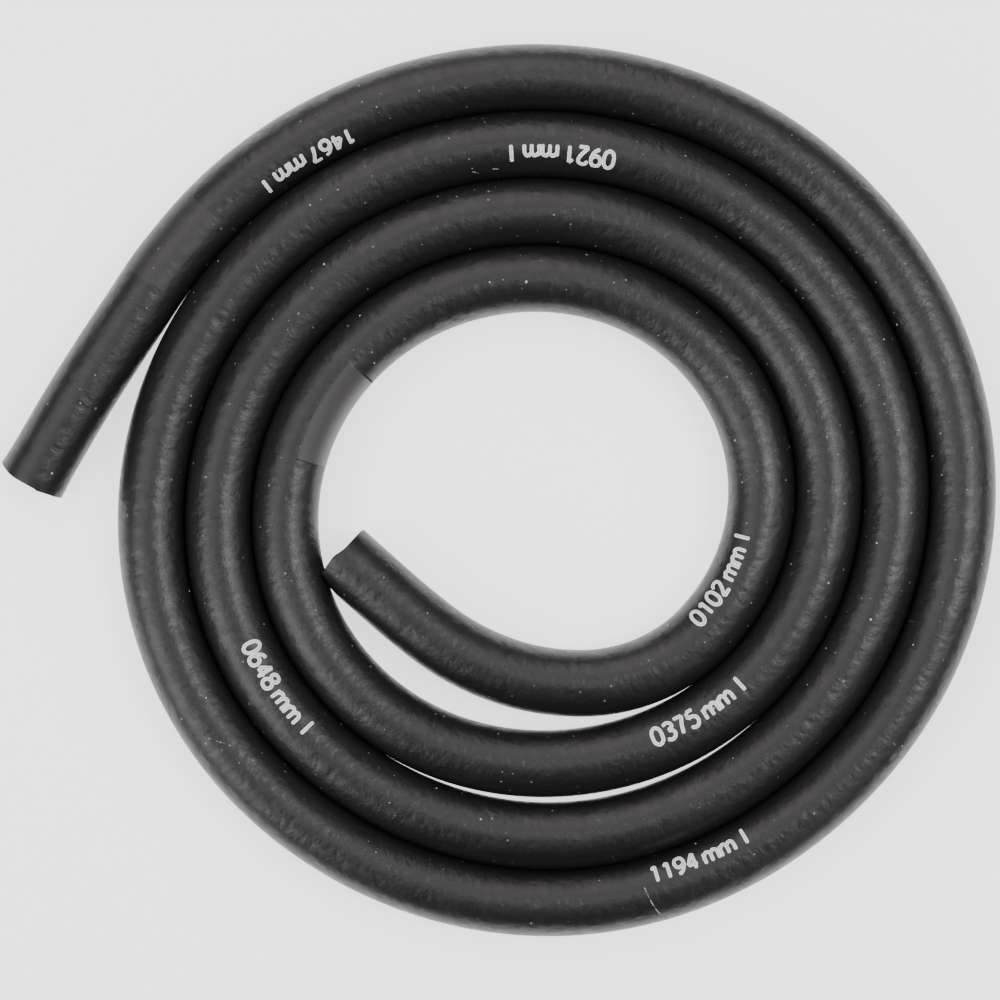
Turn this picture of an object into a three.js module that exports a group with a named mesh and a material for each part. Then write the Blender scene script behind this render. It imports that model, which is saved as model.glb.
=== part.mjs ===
// A length of rubber fuel hose, lying on a floor as a flat coil one layer deep. Millimetres, +Z up.
// The hose runs counterclockwise from its inner end, inside the coil, to its outer end.
import * as THREE from "three";

// The hose's section
const outsideDiameter = 13;
const boreDiameter = 8;
const outsideSides = 16;
const boreSides = 12;

// The coil: angles are counted along the hose, counterclockwise from +X about the coil's centre
const coilStartDegrees = 350;
const coilEndDegrees = 1590;
const degreesPerStep = 10;
const coilStartRadius = 40.6;
const turnGap = 0.1;
const ovalReach = 1.24;
const ovalAxisDegrees = 47;

// The thin crescent of floor that shows between the first whole turn and the next
const crescentGap = 1.05;
const crescentDegrees = 311;
const crescentHalfDegrees = 46;
const crescentInwardShare = 0.3;

// The loose ends: points chosen by hand, each as a distance along and to the left of the line on which the
// hose leaves the coil
const innerEndPoints = [
  [6.8, -0.9],
  [13.1, -3.1],
  [18.9, -6.5],
  [23.9, -10.9],
  [28.2, -15.9],
  [31.6, -21.3],
  [34.3, -27.1],
  [36.2, -33.2],
  [37.8, -41.5],
  [39, -50],
  [40, -57.7],
];
const outerEndPoints = [
  [14.2, 1.1],
  [28.9, 4.7],
  [43, 11.1],
  [53.2, 17],
  [62.6, 23],
  [72.2, 29.3],
  [85.2, 38.4],
];

// The cuts: both slope a little, so that the side away from the coil's centre is the longer one
const innerCutDegrees = 7;
const outerCutDegrees = 2;
// How far the inner end's side is pressed in, where it leans on the first whole turn
const leanInset = 2;

const turnSpacing = outsideDiameter + turnGap;
const outsideRadius = outsideDiameter / 2;
const samePlaceTolerance = 0.001;

// How far the coil's centreline lies out of its even spiral, to leave the crescent open
function crescentShift(degrees) {
  const passes = (degrees - crescentDegrees) / 360;
  const turn = Math.round(passes);
  const reach = (Math.abs(passes - turn) * 360) / crescentHalfDegrees;
  if (turn < 1 || reach > 1) return 0;
  const share = turn === 1 ? -crescentInwardShare : 1 - crescentInwardShare;
  return crescentGap * share * Math.cos((reach * Math.PI) / 2) ** 2;
}

// A point of the coil's centreline, an even spiral drawn a little oval
function coilPoint(degrees) {
  const turns = (degrees - coilStartDegrees) / 360;
  const oval = ovalReach * Math.cos(THREE.MathUtils.degToRad(2 * (degrees - ovalAxisDegrees)));
  const radius = coilStartRadius + turnSpacing * turns + oval + crescentShift(degrees);
  const angle = THREE.MathUtils.degToRad(degrees);
  return new THREE.Vector3(radius * Math.cos(angle), radius * Math.sin(angle), 0);
}

// A loose end's points, set out from the coil's end in the direction in which the hose leaves it
function looseEnd(startDegrees, points, sense) {
  const start = coilPoint(startDegrees);
  const along = coilPoint(startDegrees + sense).sub(coilPoint(startDegrees - sense)).normalize();
  const left = new THREE.Vector3(-along.y, along.x, 0);
  return points.map(([ahead, aside]) =>
    start.clone().addScaledVector(along, ahead).addScaledVector(left, aside),
  );
}

// The hose's route, with a section at every listed point, so that neighbouring turns' sections line up
class HoseRoute extends THREE.CatmullRomCurve3 {
  getPointAt(share, target) {
    return this.getPoint(share, target);
  }

  getTangentAt(share, target) {
    return this.getTangent(share, target);
  }
}

function hoseRoute() {
  const points = looseEnd(coilStartDegrees, innerEndPoints, -1).reverse();
  for (let degrees = coilStartDegrees; degrees <= coilEndDegrees; degrees += degreesPerStep) {
    points.push(coilPoint(degrees));
  }
  points.push(...looseEnd(coilEndDegrees, outerEndPoints, 1));
  return new HoseRoute(points, false, "catmullrom");
}

// A regular polygon inside a circle of the given diameter, with flats underneath, on top and at both sides
function polygonPoints(diameter, sides) {
  const radius = diameter / 2;
  return Array.from({ length: sides }, (_, i) => {
    const angle = ((i + 0.5) * 2 * Math.PI) / sides;
    return new THREE.Vector2(radius * Math.cos(angle), radius * Math.sin(angle));
  });
}

// Slopes one end's cut, and presses in its outward side where it leans on the next turn
function shapeEnd(geometry, end, heading, outward, cutDegrees, inset) {
  const slope = Math.tan(THREE.MathUtils.degToRad(cutDegrees));
  const squeeze = 1 - inset / outsideRadius;
  const positions = geometry.attributes.position;
  const point = new THREE.Vector3();
  const fromEnd = new THREE.Vector3();
  for (let i = 0; i < positions.count; i++) {
    point.fromBufferAttribute(positions, i);
    fromEnd.subVectors(point, end);
    const inCut = Math.abs(fromEnd.dot(heading)) < samePlaceTolerance && fromEnd.length() < outsideDiameter;
    if (!inCut) continue;
    const aside = fromEnd.dot(outward);
    const pressed = aside > 0 ? aside * squeeze : aside;
    point.addScaledVector(outward, pressed - aside).addScaledVector(heading, pressed * slope);
    positions.setXYZ(i, point.x, point.y, point.z);
  }
}

function hoseGeometry() {
  const route = hoseRoute();
  const section = new THREE.Shape(polygonPoints(outsideDiameter, outsideSides));
  section.holes.push(new THREE.Path(polygonPoints(boreDiameter, boreSides)));
  const geometry = new THREE.ExtrudeGeometry(section, {
    steps: route.points.length - 1,
    extrudePath: route,
    bevelEnabled: false,
  });
  const innerHeading = route.getTangent(0).negate();
  const outerHeading = route.getTangent(1);
  const innerOutward = new THREE.Vector3(-innerHeading.y, innerHeading.x, 0);
  const outerOutward = new THREE.Vector3(outerHeading.y, -outerHeading.x, 0);
  shapeEnd(geometry, route.getPoint(0), innerHeading, innerOutward, innerCutDegrees, leanInset);
  shapeEnd(geometry, route.getPoint(1), outerHeading, outerOutward, outerCutDegrees, 0);
  return geometry;
}

const rubber = new THREE.MeshStandardMaterial({ color: 0x262425, roughness: 0.72, metalness: 0 });

const hose = new THREE.Mesh(hoseGeometry(), rubber);
hose.name = "hose";

// The coil lies on the floor, z = 0, with the middle of its outline over the origin
hose.geometry.computeBoundingBox();
const outline = hose.geometry.boundingBox;
const middle = outline.getCenter(new THREE.Vector3());
hose.position.set(-middle.x, -middle.y, -outline.min.z);

const fuelHose = new THREE.Group();
fuelHose.add(hose);

export default fuelHose;
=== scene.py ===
"""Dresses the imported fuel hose: a smooth rubber tube on the same route, its length marks and a studio."""
import math

import bpy
import numpy as np
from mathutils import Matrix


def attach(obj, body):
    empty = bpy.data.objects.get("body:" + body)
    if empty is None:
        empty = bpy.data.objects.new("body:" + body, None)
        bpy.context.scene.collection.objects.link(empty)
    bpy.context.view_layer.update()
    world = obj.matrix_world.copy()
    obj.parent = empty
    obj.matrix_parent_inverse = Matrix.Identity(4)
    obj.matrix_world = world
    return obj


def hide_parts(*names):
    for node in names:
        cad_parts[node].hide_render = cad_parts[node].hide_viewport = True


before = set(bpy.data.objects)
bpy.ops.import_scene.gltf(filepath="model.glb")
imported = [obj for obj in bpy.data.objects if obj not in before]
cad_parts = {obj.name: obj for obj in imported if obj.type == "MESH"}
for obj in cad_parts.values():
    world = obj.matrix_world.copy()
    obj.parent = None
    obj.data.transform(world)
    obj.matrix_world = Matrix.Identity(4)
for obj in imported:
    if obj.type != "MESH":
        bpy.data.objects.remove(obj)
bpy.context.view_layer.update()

MM = 0.001

# The hose's section and route, as in the part's source, in metres; three of the outer end's points are
# moved by up to 0.2 mm, so that it lies against the coil
OUTSIDE_RADIUS = 6.5 * MM
BORE_RADIUS = 4 * MM
OUTSIDE_SIDES = 16
COIL_START_DEGREES = 350
COIL_END_DEGREES = 1590
DEGREES_PER_STEP = 10
COIL_START_RADIUS = 40.6 * MM
TURN_SPACING = 13.1 * MM
OVAL_REACH = 1.24 * MM
OVAL_AXIS_DEGREES = 47
CRESCENT_GAP = 1.05 * MM
CRESCENT_DEGREES = 311
CRESCENT_HALF_DEGREES = 46
CRESCENT_INWARD_SHARE = 0.3
INNER_END_POINTS = [
    (0.0068, -0.0009), (0.0131, -0.0031), (0.0189, -0.0065), (0.0239, -0.0109), (0.0282, -0.0159),
    (0.0316, -0.0213), (0.0343, -0.0271), (0.0362, -0.0332), (0.0378, -0.0415), (0.0390, -0.0500),
    (0.0400, -0.0577),
]
OUTER_END_POINTS = [
    (0.0142, 0.00116), (0.0289, 0.00483), (0.0430, 0.0111), (0.0531, 0.01715), (0.0626, 0.0230),
    (0.0722, 0.0293), (0.0852, 0.0384),
]

# The smooth tube's grid
POINTS_PER_STEP = 24
OUTSIDE_STATIONS = 769
BORE_STATIONS = 193
COLUMNS = 64
EDGE_ROUNDING = 0.22 * MM

# How the hose's surface fills the square that the export bakes to
OUTSIDE_STRIPS = 6
BORE_STRIP_HEIGHT = 0.05
CUT_STRIP_HEIGHT = 0.02
STRIP_FILL = 0.98

# The turns press on each other, so the hose is a little wider than it is high
SIDE_SPREAD = 1.009
# The inner end rests against the turn beside it, whose stretch of the route starts at this length
NEIGHBOUR_FROM = 150 * MM
CONTACT_REACH = 16 * MM
# The cuts: each one's line wanders, given from the outward side to the inward one
CUT_REACH = 5 * MM
END_FLARE = 0.035
INNER_CUT_ASIDE = np.array([6.5, 4.0, 2.3, 1.3, 0.1, -1.2, -5.9, -6.6]) * MM
INNER_CUT_AHEAD = np.array([0.65, 0.83, 1.0, 1.15, 0.83, 0.56, 0.5, 0.35]) * MM
OUTER_CUT_ASIDE = np.array([6.5, 5.1, 3.9, 2.6, 0.6, -1.0, -1.8, -2.6, -4.2, -5.8, -6.6]) * MM
OUTER_CUT_AHEAD = np.array([-0.2, 0.3, 0.65, 0.85, 0.85, 0.8, 0.75, 0.9, 0.55, 0.3, 0.0]) * MM
UNDERCUT = 0.12 * MM

# The printed length marks: each says in millimetres how far its last stroke is from the inner end
FIRST_MARK = 102 * MM
MARK_SPACING = 273 * MM
MARK_ANGLES = (119, 103, 104, 110, 121, 128)
GLYPH_HEIGHT = 3.4 * MM
GLYPH_ADVANCE = 2.6 * MM
WIDE_SHARE = 1.38
GLYPH_SPACE = 1.0 * MM
PRINT_WIDTH = 0.72 * MM
PRINT_RISE = 0.03 * MM
STROKE_RISE = 0.004 * MM
SINK = 0.06 * MM
STROKE_STEPS = 6

# Each sign's strokes, as points in a box one unit high; a stroke that ends where it began is closed
GLYPHS = {
    "0": [[(0.31, 1), (0.54, 0.84), (0.6, 0.5), (0.54, 0.16), (0.31, 0),
           (0.08, 0.16), (0.02, 0.5), (0.08, 0.84), (0.31, 1)]],
    "1": [[(0.12, 0.76), (0.36, 1)], [(0.36, 1), (0.36, 0)]],
    "2": [[(0.04, 0.76), (0.12, 0.94), (0.31, 1), (0.52, 0.92), (0.57, 0.74), (0.44, 0.48), (0.02, 0)],
          [(0.02, 0), (0.6, 0)]],
    "3": [[(0.04, 0.88), (0.28, 1), (0.52, 0.9), (0.54, 0.68), (0.26, 0.53)],
          [(0.26, 0.53), (0.5, 0.46), (0.59, 0.27), (0.49, 0.07), (0.27, 0), (0.03, 0.12)]],
    "4": [[(0.44, 1), (0.02, 0.3)], [(0.02, 0.3), (0.62, 0.3)], [(0.44, 1), (0.44, 0)]],
    "5": [[(0.12, 1), (0.56, 1)], [(0.12, 1), (0.08, 0.57)],
          [(0.08, 0.57), (0.3, 0.64), (0.54, 0.53), (0.6, 0.3), (0.49, 0.07), (0.26, 0), (0.02, 0.12)]],
    "6": [[(0.5, 0.97), (0.26, 0.87), (0.07, 0.58), (0.03, 0.28), (0.13, 0.06), (0.31, 0), (0.52, 0.08),
           (0.59, 0.3), (0.5, 0.52), (0.31, 0.58), (0.11, 0.48), (0.04, 0.34)]],
    "7": [[(0.02, 1), (0.6, 1)], [(0.6, 1), (0.38, 0.55), (0.24, 0)]],
    "8": [[(0.31, 0.55), (0.1, 0.67), (0.06, 0.82), (0.15, 0.96), (0.31, 1),
           (0.47, 0.96), (0.56, 0.82), (0.52, 0.67), (0.31, 0.55)],
          [(0.31, 0.55), (0.08, 0.42), (0.02, 0.24), (0.11, 0.06), (0.31, 0),
           (0.51, 0.06), (0.6, 0.24), (0.54, 0.42), (0.31, 0.55)]],
    "9": [[(0.12, 0.03), (0.36, 0.13), (0.55, 0.42), (0.59, 0.72), (0.49, 0.94), (0.31, 1), (0.1, 0.92),
           (0.03, 0.7), (0.12, 0.48), (0.31, 0.42), (0.51, 0.52), (0.58, 0.66)]],
    "m": [[(0.02, 0.68), (0.02, 0)], [(0.02, 0.46), (0.24, 0.66), (0.44, 0.5), (0.45, 0)],
          [(0.45, 0.46), (0.67, 0.66), (0.87, 0.5), (0.88, 0)]],
    "|": [[(0.3, 1), (0.3, 0)]],
}

# Scuffs and lint: each row's points, as the length from the inner end in millimetres and the angle round the
# hose from its outward side, then the ribbon's width
SCUFFS = (
    (((1076.1, 70), (1077.6, 82), (1079.5, 94)), 0.22 * MM),
    (((1171.6, 103), (1172.4, 70), (1173.6, 38), (1175.2, 8)), 0.2 * MM),
    (((929.4, 136), (928.1, 141)), 0.36 * MM),
    (((925.1, 136), (923.8, 138)), 0.34 * MM),
)
SCUFF_RISE = 0.02 * MM

# The rubber's colours, from the bottom of its dents to their rims, and where it is cut, dusty or rubbed; the
# darker colour at the bottom of the dents is painted shade
RUBBER_DARK = (0.0045, 0.0042, 0.0044)
RUBBER_LIGHT = (0.0105, 0.0096, 0.0101)
CUT_COLOUR = (0.014, 0.0136, 0.014)
DUST_COLOUR = (0.42, 0.42, 0.42)
RUBBED_COLOUR = (0.028, 0.0263, 0.0282)
RUBBED_EDGE_COLOUR = (0.115, 0.108, 0.116)
RUBBED_EDGE_ANGLES = (108, 172)
# The dark line at the first rubbed place's first edge: its length and half width in millimetres, and its
# first and last angle
EDGE_LINE = (220.5, 0.32, 120, 172)
BUMP_HEIGHT = 0.1 * MM
# Dust: each row's cell in millimetres, the share of cells that hold a speck, its least and greatest radius,
# and its brightness
SPECKS = ((3.6, 0.38, 0.13, 0.27, 1.0), (1.8, 0.4, 0.1, 0.22, 0.4))
# The two smooth, rubbed places, each as its first and last length in millimetres, its first and last angle
# round the hose, and its strength
RUBBED_PLACES = ((220.6, 242.6, 97, 190, 1.0), (1478.9, 1496.9, -10, 116, 0.5))

# The rubber's noises, by their scale for each millimetre
DENT_SCALE = 0.62
CROSS_DENT_SCALE = 0.36
GRAIN_SCALE = 2.2
PATCH_SCALE = 0.16
WAVE_SCALE = 0.05
HAZE_SCALE = 0.9

# The marking ink, and the scuffs
INK_EDGE = (0.93, 0.95, 0.96)
INK_MIDDLE = (0.42, 0.5, 0.58)
INK_WORN = (0.16, 0.175, 0.2)
SCUFF_COLOUR = (0.3, 0.3, 0.29)

# The camera looks straight down on the middle of the photograph's frame, with its top side turned to the left
CAMERA_TURN_DEGREES = 33
CAMERA_CENTRE = (-3.65 * MM, -6.69 * MM)
CAMERA_HEIGHT = 0.65
FRAME_WIDTH = 195.7 * MM

# The studio: a white floor and soft lamps, placed by the photograph's own right and top
FLOOR_HALF = 2.0
FLOOR_GLOW = 1.5
FLOOR_COLOUR = (0.9, 0.9, 0.9)
WORLD_STRENGTH = 0.02
# Each lamp's name, its place by the picture's right, top and height, its size, its power and its colour
LAMPS = (
    ("lower_left_lamp", (-0.76, -0.46, 0.64), 0.7, 6.6, (1, 0.975, 0.98)),
    ("left_lamp", (-0.6, 0.05, 0.92), 0.9, 5.4, (1, 0.96, 0.98)),
    ("right_streak_lamp", (0.47, 0.03, 0.99), 0.32, 3.6, (1, 0.99, 0.97)),
    ("right_lamp", (0.72, 0.1, 0.83), 0.9, 6.0, (1, 0.99, 0.97)),
    ("top_lamp", (-0.13, 0.77, 0.78), 0.9, 6.4, (1, 0.94, 0.98)),
    ("lower_right_lamp", (0.6, -0.6, 0.71), 0.6, 1.2, (1, 1, 0.97)),
    ("overhead_lamp", (0, 0, 1.35), 0.5, 1.1, (1, 0.98, 0.98)),
)


def crescent_shift(degrees):
    """How far the centreline lies out of its spiral: a squared cosine about the crescent's middle."""
    passes = (degrees - CRESCENT_DEGREES) / 360
    turn = np.round(passes)
    reach = np.abs(passes - turn) * 360 / CRESCENT_HALF_DEGREES
    share = np.where(turn == 1, -CRESCENT_INWARD_SHARE, 1 - CRESCENT_INWARD_SHARE)
    bulge = CRESCENT_GAP * share * np.cos(reach * np.pi / 2) ** 2
    return np.where((turn < 1) | (reach > 1), 0, bulge)


def coil_points(degrees):
    """Points of the coil: radius = start + spacing x turns + oval x cos(2(angle - axis)) + crescent."""
    degrees = np.asarray(degrees, float)
    turns = (degrees - COIL_START_DEGREES) / 360
    oval = OVAL_REACH * np.cos(np.radians(2 * (degrees - OVAL_AXIS_DEGREES)))
    radius = COIL_START_RADIUS + TURN_SPACING * turns + oval + crescent_shift(degrees)
    angle = np.radians(degrees)
    return np.stack([radius * np.cos(angle), radius * np.sin(angle)], -1)


def loose_end(start_degrees, points, sense):
    """A loose end's points: start + ahead x (the direction in which the hose leaves) + aside x (its left)."""
    start = coil_points(start_degrees)
    along = coil_points(start_degrees + sense) - coil_points(start_degrees - sense)
    along /= np.linalg.norm(along)
    left = np.array([-along[1], along[0]])
    ahead, aside = np.array(points).T
    return start + ahead[:, None] * along + aside[:, None] * left


def catmull_rom(points, steps):
    """A smooth curve through the points: the uniform Catmull-Rom cubic, with its ends carried on straight."""
    held = np.vstack([2 * points[0] - points[1], points, 2 * points[-1] - points[-2]])
    a, b, c, d = held[:-3, None], held[1:-2, None], held[2:-1, None], held[3:, None]
    t = np.linspace(0, 1, steps, endpoint=False)[None, :, None]
    squared = 2 * a - 5 * b + 4 * c - d
    cubed = 3 * b - a - 3 * c + d
    curve = 0.5 * (2 * b + (c - a) * t + squared * t**2 + cubed * t**3)
    return np.vstack([curve.reshape(-1, points.shape[1]), points[-1:]])


def hose_route():
    """The centreline's points, moved so that the middle of the CAD hose's outline is the origin."""
    coil = coil_points(np.arange(COIL_START_DEGREES, COIL_END_DEGREES + 1, DEGREES_PER_STEP))
    inner = loose_end(COIL_START_DEGREES, INNER_END_POINTS, -1)[::-1]
    outer = loose_end(COIL_END_DEGREES, OUTER_END_POINTS, 1)
    rings = np.vstack([inner, coil, outer])
    along = np.vstack([rings[1] - rings[0], rings[2:] - rings[:-2], rings[-1] - rings[-2]])
    along /= np.linalg.norm(along, axis=1)[:, None]
    side = np.stack([along[:, 1], -along[:, 0]], -1) * OUTSIDE_RADIUS * math.cos(math.pi / OUTSIDE_SIDES)
    walls = np.vstack([rings + side, rings - side])
    rings = rings - (walls.min(0) + walls.max(0)) / 2
    return catmull_rom(rings, POINTS_PER_STEP)


ROUTE = hose_route()
ROUTE_LENGTHS = np.concatenate([[0], np.cumsum(np.linalg.norm(np.diff(ROUTE, axis=0), axis=1))])
HOSE_LENGTH = float(ROUTE_LENGTHS[-1])
ROUTE_ALONG = np.gradient(ROUTE, ROUTE_LENGTHS, axis=0)


def place_on_route(length):
    """The centreline's point, its direction and its right-hand side, at each length from the inner end."""
    point = np.stack([np.interp(length, ROUTE_LENGTHS, ROUTE[:, i]) for i in range(2)], -1)
    along = np.stack([np.interp(length, ROUTE_LENGTHS, ROUTE_ALONG[:, i]) for i in range(2)], -1)
    along /= np.linalg.norm(along, axis=-1, keepdims=True)
    side = np.stack([along[..., 1], -along[..., 0]], -1)
    return point, along, side


def smooth_step(value):
    """0 below 0, 1 above 1, and 3v^2 - 2v^3 between."""
    value = np.clip(value, 0, 1)
    return value * value * (3 - 2 * value)


def new_mesh(name, vertices, faces):
    """An object of the given name whose mesh holds the vertices and the faces."""
    mesh = bpy.data.meshes.new(name)
    mesh.from_pydata(vertices.tolist(), [], faces.tolist())
    mesh.update()
    made = bpy.data.objects.new(name, mesh)
    bpy.context.collection.objects.link(made)
    return made


def add_map(mesh, name, corners):
    """A UV map of the given name from one pair of numbers for each face corner."""
    layer = mesh.uv_layers.new(name=name)
    layer.data.foreach_set("uv", np.ascontiguousarray(corners, np.float32).ravel())


def hose_profile():
    """The rings of the hose in one closed lap, outside, cut, bore and cut.
    Each is given as its length along the hose and its radius."""
    rounding = np.linspace(0, math.pi / 2, 4)[1:]
    edge_out = EDGE_ROUNDING * (1 - np.sin(rounding))
    edge_in = EDGE_ROUNDING * (1 - np.cos(rounding))
    outside = np.linspace(EDGE_ROUNDING, HOSE_LENGTH - EDGE_ROUNDING, OUTSIDE_STATIONS)
    face_radii = np.linspace(OUTSIDE_RADIUS - EDGE_ROUNDING, BORE_RADIUS, 9)[1:]
    bore = np.linspace(HOSE_LENGTH, 0, BORE_STATIONS)[1:]
    length = np.concatenate([
        outside,
        HOSE_LENGTH - edge_out,
        np.full(face_radii.size, HOSE_LENGTH),
        bore,
        np.zeros(face_radii.size - 1),
        edge_out[::-1],
    ])
    radius = np.concatenate([
        np.full(outside.size, OUTSIDE_RADIUS),
        OUTSIDE_RADIUS - edge_in,
        face_radii,
        np.full(bore.size, BORE_RADIUS),
        face_radii[-2::-1],
        (OUTSIDE_RADIUS - edge_in)[::-1],
    ])
    return length, radius


def contact_press(flat, length, radius, angle):
    """How far the inner end is pressed back where it would reach into the turn beside it.
    The turn's half width at a height is sqrt(R^2 - up^2); the bore gives way in proportion to its radius."""
    press = np.zeros(flat.shape)
    ends = (length < CONTACT_REACH) & (np.cos(angle) > 0)
    at = flat[ends]
    turn = ROUTE[(ROUTE_LENGTHS > NEIGHBOUR_FROM) & (ROUTE_LENGTHS < 2.5 * NEIGHBOUR_FROM)]
    away = at[:, None] - turn[None]
    nearest = away[np.arange(len(at)), np.linalg.norm(away, axis=-1).argmin(1)]
    distance = np.linalg.norm(nearest, axis=-1)
    up = radius[ends] * np.sin(angle[ends])
    reach = (radius[ends] - OUTSIDE_RADIUS) * np.cos(angle[ends])
    half_width = SIDE_SPREAD * np.sqrt(np.clip(OUTSIDE_RADIUS ** 2 - up ** 2, 0, None))
    into = np.clip(half_width - (distance + reach), 0, None) * radius[ends] / OUTSIDE_RADIUS
    press[ends] = -nearest / distance[:, None] * into[:, None]
    return press


def hose_surface(length, radius, angle):
    """Points of the hose: centre + radius x (cos(angle) x side + sin(angle) x up), with its ends shaped."""
    point, along, side = place_on_route(length)
    near_inner = 1 - smooth_step(length / CUT_REACH)
    near_outer = smooth_step((length - HOSE_LENGTH) / CUT_REACH + 1)
    aside = radius * np.cos(angle) * (SIDE_SPREAD + END_FLARE * near_outer)
    inner_cut = np.interp(aside, INNER_CUT_ASIDE[::-1], INNER_CUT_AHEAD[::-1])
    outer_cut = np.interp(aside, OUTER_CUT_ASIDE[::-1], OUTER_CUT_AHEAD[::-1])
    under = -UNDERCUT * np.sin(angle)
    ahead = near_outer * (outer_cut + under) - near_inner * (inner_cut + under)
    flat = point + aside[..., None] * side + ahead[..., None] * along
    flat = flat - contact_press(flat, length, radius, angle)
    height = OUTSIDE_RADIUS + radius * np.sin(angle)
    return np.concatenate([flat, height[..., None]], -1)


def bake_map(length, radius, row, column, next_row):
    """Each face corner's place on the square that the export bakes to.
    The outside lies in strips, and over them lie the bore and the cuts."""
    strip_height = (1 - BORE_STRIP_HEIGHT - 2 * CUT_STRIP_HEIGHT) / OUTSIDE_STRIPS
    middle_length = (length[row] + length[next_row]) / 2
    middle_radius = (radius[row] + radius[next_row]) / 2
    strip = np.minimum((middle_length / HOSE_LENGTH * OUTSIDE_STRIPS).astype(int), OUTSIDE_STRIPS - 1)
    in_bore = (radius[row] == BORE_RADIUS) & (radius[next_row] == BORE_RADIUS)
    in_cut = ~in_bore & (middle_radius < OUTSIDE_RADIUS)
    corners = []
    for at, across in ((row, column), (row, column + 1), (next_row, column + 1), (next_row, column)):
        lap = across / COLUMNS
        in_strip = length[at] / HOSE_LENGTH * OUTSIDE_STRIPS - strip
        outside = (in_strip, (strip + lap * STRIP_FILL) * strip_height)
        base = OUTSIDE_STRIPS * strip_height
        bore = (length[at] / HOSE_LENGTH, base + lap * STRIP_FILL * BORE_STRIP_HEIGHT)
        depth = (radius[at] - BORE_RADIUS) / (OUTSIDE_RADIUS - BORE_RADIUS)
        which = (middle_length > HOSE_LENGTH / 2).astype(int)
        cut = (lap, base + BORE_STRIP_HEIGHT + (which + depth * STRIP_FILL) * CUT_STRIP_HEIGHT)
        pair = [np.where(in_cut, c, np.where(in_bore, b, o)) for c, b, o in zip(cut, bore, outside)]
        corners.append(np.stack(pair, -1))
    return np.stack(corners, -2).reshape(-1, 2)


def make_hose():
    """The hose as one closed grid of rings and columns: both ways round, it comes back to where it began."""
    length, radius = hose_profile()
    angle = np.linspace(-math.pi / 2, 1.5 * math.pi, COLUMNS, endpoint=False)
    rows = length.size
    vertices = hose_surface(*np.broadcast_arrays(length[:, None], radius[:, None], angle[None, :]))
    row, column = np.meshgrid(np.arange(rows), np.arange(COLUMNS), indexing="ij")
    next_row, next_column = (row + 1) % rows, (column + 1) % COLUMNS
    corners = [(row, column), (row, next_column), (next_row, next_column), (next_row, column)]
    faces = np.stack([r * COLUMNS + c for r, c in corners], -1).reshape(-1, 4)
    hose = new_mesh("rubber_hose", vertices.reshape(-1, 3), faces)
    hose.data.shade_smooth()
    add_map(hose.data, "OFBake", bake_map(length, radius, row, column, next_row))
    step = 2 * math.pi * OUTSIDE_RADIUS / COLUMNS
    across = [column, column + 1, column + 1, column]
    lap = np.stack([np.stack([length[r], a * step], -1) for (r, _), a in zip(corners, across)], -2)
    add_map(hose.data, "lap", lap.reshape(-1, 2))
    depth = np.broadcast_to((OUTSIDE_RADIUS - radius)[:, None], (rows, COLUMNS))
    attribute = hose.data.attributes.new("depth", "FLOAT", "POINT")
    attribute.data.foreach_set("value", np.ascontiguousarray(depth, np.float32).ravel())
    return hose


def stroke_ribbon(points, width, rise):
    """A thin closed ribbon wrapped on the hose along points (length along the hose, arc up its side).
    Its ends are round: width x sqrt(1 - e^2), with e the share of the way into its last half width."""
    points = np.array(points, float)
    closed = bool(np.allclose(points[0], points[-1]))
    if closed:
        looped = np.vstack([points[-2], points, points[1]])
        curve = catmull_rom(looped, STROKE_STEPS)[STROKE_STEPS:-STROKE_STEPS]
        reach = np.ones(len(curve))
    else:
        curve = catmull_rom(points, STROKE_STEPS)
        run = np.concatenate([[0], np.cumsum(np.linalg.norm(np.diff(curve, axis=0), axis=1))])
        ends = np.sin(np.linspace(0, math.pi / 2, 6)) * min(width, run[-1]) / 2
        between = run[(run > ends[-1]) & (run < run[-1] - ends[-1])]
        stops = np.unique(np.concatenate([ends, between, run[-1] - ends]))
        curve = np.stack([np.interp(stops, run, curve[:, i]) for i in range(2)], -1)
        into_end = 1 - np.minimum(stops, stops[-1] - stops) / ends[-1]
        reach = np.sqrt(np.clip(1 - np.clip(into_end, 0, 1) ** 2, 0.02, 1))
    along = np.gradient(curve, axis=0)
    if closed:
        along[0] = along[-1] = curve[1] - curve[-2]
    along /= np.linalg.norm(along, axis=1)[:, None]
    across = np.stack([-along[:, 1], along[:, 0]], -1)
    edge = np.array([-1.0, -1.0, -0.5, 0.0, 0.5, 1.0, 1.0])
    lift = np.array([-SINK, rise * 0.4, rise, rise, rise, rise * 0.4, -SINK])
    flat = curve[:, None] + across[:, None] * (edge * width / 2 * reach[:, None])[..., None]
    point, _, side = place_on_route(flat[..., 0])
    radius = OUTSIDE_RADIUS + lift
    angle = flat[..., 1] / OUTSIDE_RADIUS
    place = point + (radius * SIDE_SPREAD * np.cos(angle))[..., None] * side
    vertices = np.concatenate([place, (OUTSIDE_RADIUS + radius * np.sin(angle))[..., None]], -1)
    rows, columns = vertices.shape[:2]
    row, column = np.meshgrid(np.arange(rows - 1), np.arange(columns), indexing="ij")
    beside = (column + 1) % columns
    corners = [(row, column), (row + 1, column), (row + 1, beside), (row, beside)]
    quads = np.stack([r * columns + c for r, c in corners], -1).reshape(-1, 4)
    if closed:
        vertices = vertices[:-1]
        quads = quads % ((rows - 1) * columns)
    return vertices.reshape(-1, 3), quads, np.tile(edge, len(vertices)), None if closed else (rows, columns)


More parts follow.
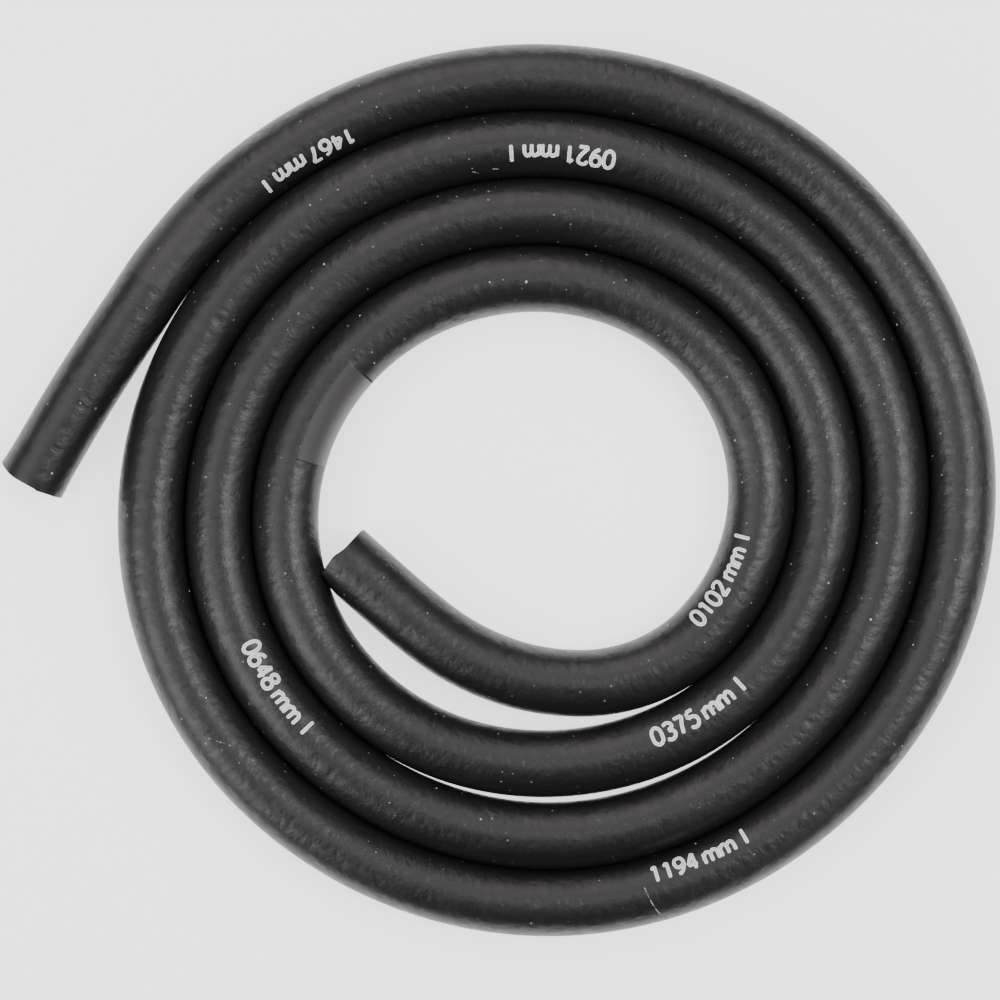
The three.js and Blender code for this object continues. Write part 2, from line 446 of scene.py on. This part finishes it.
def make_ribbons(name, strokes):
    """One piece from many ribbons, each given as its points, width and rise; open ribbons get end faces."""
    all_vertices, all_faces, all_edges = [], [], []
    count = 0
    for points, width, rise in strokes:
        vertices, quads, edge, open_grid = stroke_ribbon(points, width, rise)
        all_faces += (quads + count).tolist()
        if open_grid:
            rows, columns = open_grid
            all_faces.append([count + i for i in range(columns)])
            all_faces.append([count + (rows - 1) * columns + i for i in reversed(range(columns))])
        all_vertices.append(vertices)
        all_edges.append(edge)
        count += len(vertices)
    mesh = bpy.data.meshes.new(name)
    mesh.from_pydata(np.vstack(all_vertices).tolist(), [], all_faces)
    attribute = mesh.attributes.new("edge", "FLOAT", "POINT")
    attribute.data.foreach_set("value", np.concatenate(all_edges).astype(np.float32))
    mesh.update()
    made = bpy.data.objects.new(name, mesh)
    bpy.context.collection.objects.link(made)
    return made


def mark_strokes():
    """The strokes of all the length marks: digits, the unit, and the stroke at the length that they name."""
    strokes = []
    for number, middle in enumerate(MARK_ANGLES):
        at = FIRST_MARK + number * MARK_SPACING
        words = (f"{round(at / MM):04d}", "mm", "|")
        width = (5 + 2 * WIDE_SHARE) * GLYPH_ADVANCE + (len(words) - 1) * GLYPH_SPACE
        start = at - width + GLYPH_ADVANCE - 0.3 * GLYPH_HEIGHT
        foot = math.radians(middle) * OUTSIDE_RADIUS - GLYPH_HEIGHT / 2
        for word in words:
            for sign in word:
                wide = GLYPH_ADVANCE * (WIDE_SHARE if sign == "m" else 1)
                for stroke in GLYPHS[sign]:
                    points = [(start + x * GLYPH_HEIGHT, foot + y * GLYPH_HEIGHT) for x, y in stroke]
                    strokes.append((points, PRINT_WIDTH, PRINT_RISE + len(strokes) % 4 * STROKE_RISE))
                start += wide
            start += GLYPH_SPACE
    return strokes


def scuff_strokes():
    """The scuffs as strokes: length along the hose, and angle x radius up its side."""
    strokes = []
    for points, width in SCUFFS:
        stroke = [(length * MM, math.radians(degrees) * OUTSIDE_RADIUS) for length, degrees in points]
        strokes.append((stroke, width, SCUFF_RISE))
    return strokes


def new_material(name, colour, roughness):
    """A material whose shader's own sockets hold the given colour and roughness."""
    material = bpy.data.materials.new(name)
    material.use_nodes = True
    shader = material.node_tree.nodes["Principled BSDF"]
    shader.inputs["Base Color"].default_value = (*colour, 1)
    shader.inputs["Roughness"].default_value = roughness
    return material


def add_node(tree, kind, settings=(), **sockets):
    """A new node with its settings; each named socket gets a value, or a link from another node's output."""
    node = tree.nodes.new("ShaderNode" + kind)
    for name, value in dict(settings).items():
        setattr(node, name, value)
    for name, value in sockets.items():
        socket = node.inputs[int(name[1:]) if name[0] == "_" else name.replace("_", " ")]
        if isinstance(value, bpy.types.NodeSocket):
            tree.links.new(value, socket)
        else:
            socket.default_value = value
    return node


def math_node(tree, operation, first, second=0.0, third=0.0):
    """A Math node's output."""
    return add_node(tree, "Math", {"operation": operation}, _0=first, _1=second, _2=third).outputs[0]


def noise_node(tree, place, scale, detail, roughness):
    """A Noise Texture's value at the place."""
    node = add_node(tree, "TexNoise", _0=place, Scale=scale, Detail=detail, Roughness=roughness)
    return node.outputs[0]


def ramp(tree, value, low, high, start=0.0, end=1.0):
    """The value carried from low..high to start..end, and held there outside."""
    settings = {"interpolation_type": "SMOOTHSTEP"}
    sockets = {"Value": value, "From_Min": low, "From_Max": high, "To_Min": start, "To_Max": end}
    return add_node(tree, "MapRange", settings, **sockets).outputs[0]


def mix_colour(tree, share, first, second):
    """A colour that goes from the first to the second with the share."""
    node = add_node(tree, "Mix", {"data_type": "RGBA"}, _0=share)
    for socket, value in ((node.inputs[6], first), (node.inputs[7], second)):
        if isinstance(value, bpy.types.NodeSocket):
            tree.links.new(value, socket)
        else:
            socket.default_value = (*value, 1)
    return node.outputs[2]


def arc_at(degrees):
    """How far round the hose an angle lies from its underside, in millimetres."""
    return (math.radians(degrees) + math.pi / 2) * OUTSIDE_RADIUS / MM


def edge_line_mask(tree, length, arc):
    """1 along the dark line beside the first rubbed place, and 0 elsewhere."""
    at, half_width, low, high = EDGE_LINE
    off = math_node(tree, "ABSOLUTE", math_node(tree, "SUBTRACT", length, at))
    within = math_node(tree, "MULTIPLY", ramp(tree, off, half_width * 0.4, half_width, 1, 0),
                       ramp(tree, arc, arc_at(low), arc_at(low) + 1.2))
    return math_node(tree, "MULTIPLY", within, ramp(tree, arc, arc_at(high), arc_at(high) + 0.4, 1, 0))


def rubbed_mask(tree, length, arc):
    """1 on the rubbed places and 0 elsewhere, from the length along the hose and the arc round it."""
    total = None
    for first, last, low, high, strength in RUBBED_PLACES:
        low_arc, high_arc = arc_at(low), arc_at(high)
        edges = [
            ramp(tree, length, first, first + 0.25),
            ramp(tree, length, last, last + 0.25, 1, 0),
            ramp(tree, arc, low_arc, low_arc + 0.4),
            ramp(tree, arc, high_arc, high_arc + 0.8, 1, 0),
        ]
        inside = strength
        for edge in edges:
            inside = math_node(tree, "MULTIPLY", inside, edge)
        total = inside if total is None else math_node(tree, "MAXIMUM", total, inside)
    return total


def rubber_material():
    """Black rubber with the print of the cloth that it was cured in: short slanting dents, grain and dust.
    Its colour is painted darker at the bottom of the dents, a painted shade, and varies in broad waves of
    tone.
    """
    material = new_material("moulded_rubber", RUBBER_LIGHT, 0.4)
    tree = material.node_tree
    shader = tree.nodes["Principled BSDF"]
    lap = add_node(tree, "UVMap", {"uv_map": "lap"}).outputs[0]
    scaled = add_node(tree, "VectorMath", {"operation": "SCALE"}, _0=lap, Scale=1 / MM).outputs[0]
    split = add_node(tree, "SeparateXYZ", _0=scaled)
    length, arc = split.outputs[0], split.outputs[1]

    turned = (0, 0, math.radians(35))
    slanted = add_node(tree, "Mapping", _0=scaled, Rotation=turned, Scale=(1.1, 0.75, 1)).outputs[0]
    turned = (0, 0, math.radians(-30))
    crossed = add_node(tree, "Mapping", _0=scaled, Rotation=turned, Scale=(0.8, 1.1, 1)).outputs[0]
    dents = noise_node(tree, slanted, DENT_SCALE, 2, 0.45)
    cross_dents = noise_node(tree, crossed, CROSS_DENT_SCALE, 2, 0.45)
    grain = noise_node(tree, scaled, GRAIN_SCALE, 2, 0.5)
    patches = noise_node(tree, scaled, PATCH_SCALE, 2, 0.5)
    waves = noise_node(tree, scaled, WAVE_SCALE, 1, 0.5)

    half_dents = math_node(tree, "MULTIPLY", ramp(tree, dents, 0.3, 0.7), 0.5)
    cloth = math_node(tree, "MULTIPLY_ADD", ramp(tree, cross_dents, 0.3, 0.7), 0.5, half_dents)
    cloth_depth = ramp(tree, patches, 0.35, 0.6, 0.6, 1)
    rubbed = rubbed_mask(tree, length, arc)
    plain = math_node(tree, "SUBTRACT", 1.0, rubbed)
    cloth = math_node(tree, "MULTIPLY", math_node(tree, "MULTIPLY", cloth, cloth_depth), plain)
    grain = math_node(tree, "MULTIPLY", grain, math_node(tree, "MULTIPLY_ADD", plain, 0.85, 0.15))

    depth = add_node(tree, "Attribute", {"attribute_name": "depth"}).outputs["Fac"]
    is_cut = ramp(tree, depth, EDGE_ROUNDING * 0.5, EDGE_ROUNDING * 1.2)
    # Painted shade: the colour darkens towards the bottom of the cloth dents, with broad waves of tone mixed
    # in
    dent_shade_and_tone = math_node(tree, "MULTIPLY_ADD", cloth, 0.55, math_node(tree, "MULTIPLY", waves, 0.5))
    colour = mix_colour(tree, dent_shade_and_tone, RUBBER_DARK, RUBBER_LIGHT)
    toward_edge = ramp(tree, arc, *(arc_at(d) for d in RUBBED_EDGE_ANGLES))
    rubbed_colour = mix_colour(tree, toward_edge, RUBBED_COLOUR, RUBBED_EDGE_COLOUR)
    colour = mix_colour(tree, rubbed, colour, rubbed_colour)
    line = edge_line_mask(tree, length, arc)
    colour = mix_colour(tree, line, colour, RUBBER_DARK)
    colour = mix_colour(tree, is_cut, colour, CUT_COLOUR)

    speck = 0.0
    for cell, share, small, large, bright in SPECKS:
        cells = add_node(tree, "TexVoronoi", {"feature": "F1"}, _0=scaled, Scale=1 / cell, Randomness=1.0)
        picked = add_node(tree, "SeparateColor", _0=cells.outputs["Color"])
        size = math_node(tree, "MULTIPLY_ADD", picked.outputs[1], (large - small) / cell, small / cell)
        size = math_node(tree, "MULTIPLY", size, math_node(tree, "LESS_THAN", picked.outputs[0], share))
        inside = math_node(tree, "LESS_THAN", cells.outputs["Distance"], size)
        level = math_node(tree, "MULTIPLY_ADD", picked.outputs[2], bright * 0.7, bright * 0.3)
        level = math_node(tree, "MULTIPLY", inside, level)
        speck = math_node(tree, "MAXIMUM", speck, level)
    speck = math_node(tree, "MULTIPLY", speck, plain)
    haze = ramp(tree, noise_node(tree, scaled, HAZE_SCALE, 5, 0.75), 0.62, 0.8, 0, 0.05)
    dust = math_node(tree, "MAXIMUM", speck, haze)
    colour = mix_colour(tree, dust, colour, DUST_COLOUR)
    tree.links.new(colour, shader.inputs["Base Color"])

    rough = math_node(tree, "MULTIPLY_ADD", grain, 0.16, math_node(tree, "MULTIPLY_ADD", cloth, -0.1, 0.36))
    rough = math_node(tree, "MULTIPLY_ADD", dust, 0.4, math_node(tree, "MULTIPLY_ADD", is_cut, 0.3, rough))
    rough = math_node(tree, "MULTIPLY_ADD", line, 0.5, math_node(tree, "MULTIPLY_ADD", rubbed, 0.12, rough))
    tree.links.new(rough, shader.inputs["Roughness"])

    height = math_node(tree, "MULTIPLY_ADD", cloth, 1.0, math_node(tree, "MULTIPLY", grain, 0.16))
    height = math_node(tree, "MULTIPLY_ADD", speck, 0.5, height)
    bump = add_node(tree, "Bump", Height=height, Strength=1.0, Distance=BUMP_HEIGHT).outputs[0]
    tree.links.new(bump, shader.inputs["Normal"])
    return material


def print_material():
    """White marking ink: whiter along each stroke's edges, bluish along its middle, worn in flecks."""
    material = new_material("marking_ink", (0.8, 0.82, 0.84), 0.6)
    tree = material.node_tree
    shader = tree.nodes["Principled BSDF"]
    edge = math_node(tree, "ABSOLUTE", add_node(tree, "Attribute", {"attribute_name": "edge"}).outputs["Fac"])
    place = add_node(tree, "TexCoord").outputs["Object"]
    wear = noise_node(tree, place, 2600, 3, 0.7)
    flecks = noise_node(tree, place, 700, 2, 0.6)
    colour = mix_colour(tree, ramp(tree, edge, 0.1, 0.6), INK_MIDDLE, INK_EDGE)
    worn = ramp(tree, wear, 0.58, 0.72, 0, 0.55)
    worn = math_node(tree, "MAXIMUM", worn, ramp(tree, flecks, 0.62, 0.75, 0, 0.5))
    tree.links.new(mix_colour(tree, worn, colour, INK_WORN), shader.inputs["Base Color"])
    return material


def scuff_material():
    """Pale, dry scratches and lint: a grey that breaks up along its length."""
    material = new_material("scuffed_grey", (0.2, 0.2, 0.2), 0.8)
    tree = material.node_tree
    place = add_node(tree, "TexCoord").outputs["Object"]
    breaks = noise_node(tree, place, 1500, 3, 0.7)
    colour = mix_colour(tree, ramp(tree, breaks, 0.42, 0.6), RUBBER_LIGHT, SCUFF_COLOUR)
    tree.links.new(colour, tree.nodes["Principled BSDF"].inputs["Base Color"])
    return material


def make_camera():
    """A long lens over the hose: the frame's width is seen at the hose's middle height."""
    data = bpy.data.cameras.new("camera")
    camera = bpy.data.objects.new("camera", data)
    bpy.context.collection.objects.link(camera)
    camera.location = (*CAMERA_CENTRE, CAMERA_HEIGHT)
    camera.rotation_euler = (0, 0, math.radians(CAMERA_TURN_DEGREES))
    data.sensor_width = 36
    data.lens = data.sensor_width * (CAMERA_HEIGHT - OUTSIDE_RADIUS) / FRAME_WIDTH
    data.clip_start = 0.01
    bpy.context.scene.camera = camera


def make_floor():
    """A square of white floor at z = 0."""
    corner = FLOOR_HALF
    corners = [(-corner, -corner, 0), (corner, -corner, 0), (corner, corner, 0), (-corner, corner, 0)]
    floor = new_mesh("floor", np.array(corners), np.array([[0, 1, 2, 3]]))
    white = new_material("floor_white", FLOOR_COLOUR, 0.9)
    shader = white.node_tree.nodes["Principled BSDF"]
    shader.inputs["Emission Color"].default_value = (1, 1, 1, 1)
    shader.inputs["Emission Strength"].default_value = FLOOR_GLOW
    floor.data.materials.append(white)


def make_lamp(name, place, size, power, colour):
    """A square soft lamp at the given place, by the picture's right, top and height, facing the hose."""
    data = bpy.data.lights.new(name, "AREA")
    data.size = size
    data.energy = power
    data.color = colour
    lamp = bpy.data.objects.new(name, data)
    bpy.context.collection.objects.link(lamp)
    turn = math.radians(CAMERA_TURN_DEGREES)
    right, top, height = place
    across = right * math.cos(turn) - top * math.sin(turn)
    at = (across, right * math.sin(turn) + top * math.cos(turn), height)
    lamp.location = at
    aim = np.array(at) / np.linalg.norm(at)
    lamp.rotation_euler = (math.acos(aim[2]), 0, math.atan2(aim[1], aim[0]) + math.pi / 2)


make_camera()

hose = make_hose()
hose.data.materials.append(rubber_material())
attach(hose, "root")
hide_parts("hose")

marks = make_ribbons("length_marks", mark_strokes())
marks.data.materials.append(print_material())
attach(marks, "root")
scuffs = make_ribbons("scuffs", scuff_strokes())
scuffs.data.materials.append(scuff_material())
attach(scuffs, "root")

make_floor()
for lamp in LAMPS:
    make_lamp(*lamp)

world = bpy.data.worlds.new("studio")
world.use_nodes = True
world.node_tree.nodes["Background"].inputs["Color"].default_value = (1, 1, 1, 1)
world.node_tree.nodes["Background"].inputs["Strength"].default_value = WORLD_STRENGTH
bpy.context.scene.world = world
